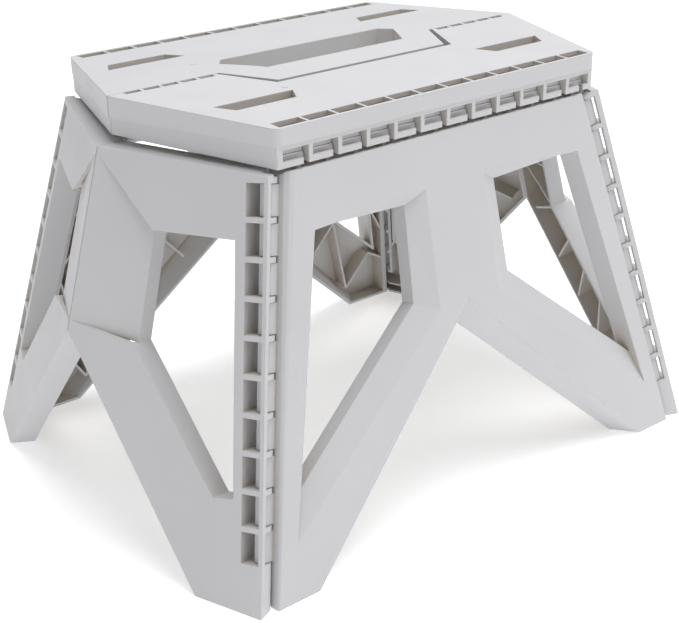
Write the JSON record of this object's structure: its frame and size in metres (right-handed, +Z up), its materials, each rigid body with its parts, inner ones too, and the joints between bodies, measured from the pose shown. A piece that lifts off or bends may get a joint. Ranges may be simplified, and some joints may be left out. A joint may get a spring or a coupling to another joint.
{
  "type": "folding step stool",
  "caption": "Folding plastic step stool with an oblong slotted seat, a carrying handle in its middle and hinged legs and end panels.",
  "frame": {"origin": "on the floor under the middle of the seat, stool standing open", "axes": "+X along the centre hinge, +Y towards the rear leg, +Z up"},
  "size_m": [0.4208, 0.3298, 0.273],
  "materials": {
    "shell_plastic": "fine moulded satin",
    "pin_steel": "drawn wire"
  },
  "bodies": {
    "seat_rear": {"top_rear": "shell_plastic", "centre_pin_left": "pin_steel", "centre_pin_right": "pin_steel"},
    "seat_front": {"top_front": "shell_plastic"},
    "leg_front": {"leg_front": "shell_plastic", "leg_pin_front": "pin_steel", "corner_pin_left_front": "pin_steel", "corner_pin_right_front": "pin_steel"},
    "end_left_front": {"end_left_front": "shell_plastic"},
    "end_right_front": {"end_right_front": "shell_plastic"},
    "leg_rear": {"leg_rear": "shell_plastic", "leg_pin_rear": "pin_steel", "corner_pin_left_rear": "pin_steel", "corner_pin_right_rear": "pin_steel"},
    "end_left_rear": {"end_left_rear": "shell_plastic"},
    "end_right_rear": {"end_right_rear": "shell_plastic"}
  },
  "joints": [
    {"name": "centre_fold", "type": "hinge", "parent": "seat_rear", "child": "seat_front", "pos_m": [0, 0, 0.2461], "axis": [1, 0, 0], "range_deg": [0, 180]},
    {"name": "leg_fold_front", "type": "hinge", "parent": "seat_front", "child": "leg_front", "pos_m": [0, -0.10469, 0.25455], "axis": [-1, 0, 0], "range_deg": [0, 78.5]},
    {"name": "corner_fold_left_front", "type": "hinge", "parent": "leg_front", "child": "end_left_front", "pos_m": [-0.15534, -0.12974, 0.13142], "axis": [0.2104, 0.1949, 0.958], "range_deg": [0, 68.15]},
    {"name": "corner_fold_right_front", "type": "hinge", "parent": "leg_front", "child": "end_right_front", "pos_m": [0.15534, -0.12974, 0.13142], "axis": [0.2104, -0.1949, -0.958], "range_deg": [0, 68.15]},
    {"name": "leg_fold_rear", "type": "hinge", "parent": "seat_rear", "child": "leg_rear", "pos_m": [0, 0.10469, 0.25455], "axis": [1, 0, 0], "range_deg": [0, 78.5]},
    {"name": "corner_fold_left_rear", "type": "hinge", "parent": "leg_rear", "child": "end_left_rear", "pos_m": [-0.15534, 0.12974, 0.13142], "axis": [-0.2104, 0.1949, -0.958], "range_deg": [0, 68.15]},
    {"name": "corner_fold_right_rear", "type": "hinge", "parent": "leg_rear", "child": "end_right_rear", "pos_m": [0.15534, 0.12974, 0.13142], "axis": [-0.2104, -0.1949, 0.958], "range_deg": [0, 68.15]}
  ],
  "couplings": [
    {"joint": "leg_fold_front", "follows": "centre_fold", "ratio": 0.43611},
    {"joint": "corner_fold_left_front", "follows": "centre_fold", "ratio": 0.37861},
    {"joint": "corner_fold_right_front", "follows": "centre_fold", "ratio": 0.37861},
    {"joint": "leg_fold_rear", "follows": "centre_fold", "ratio": 0.43611},
    {"joint": "corner_fold_left_rear", "follows": "centre_fold", "ratio": 0.37861},
    {"joint": "corner_fold_right_rear", "follows": "centre_fold", "ratio": 0.37861}
  ]
}
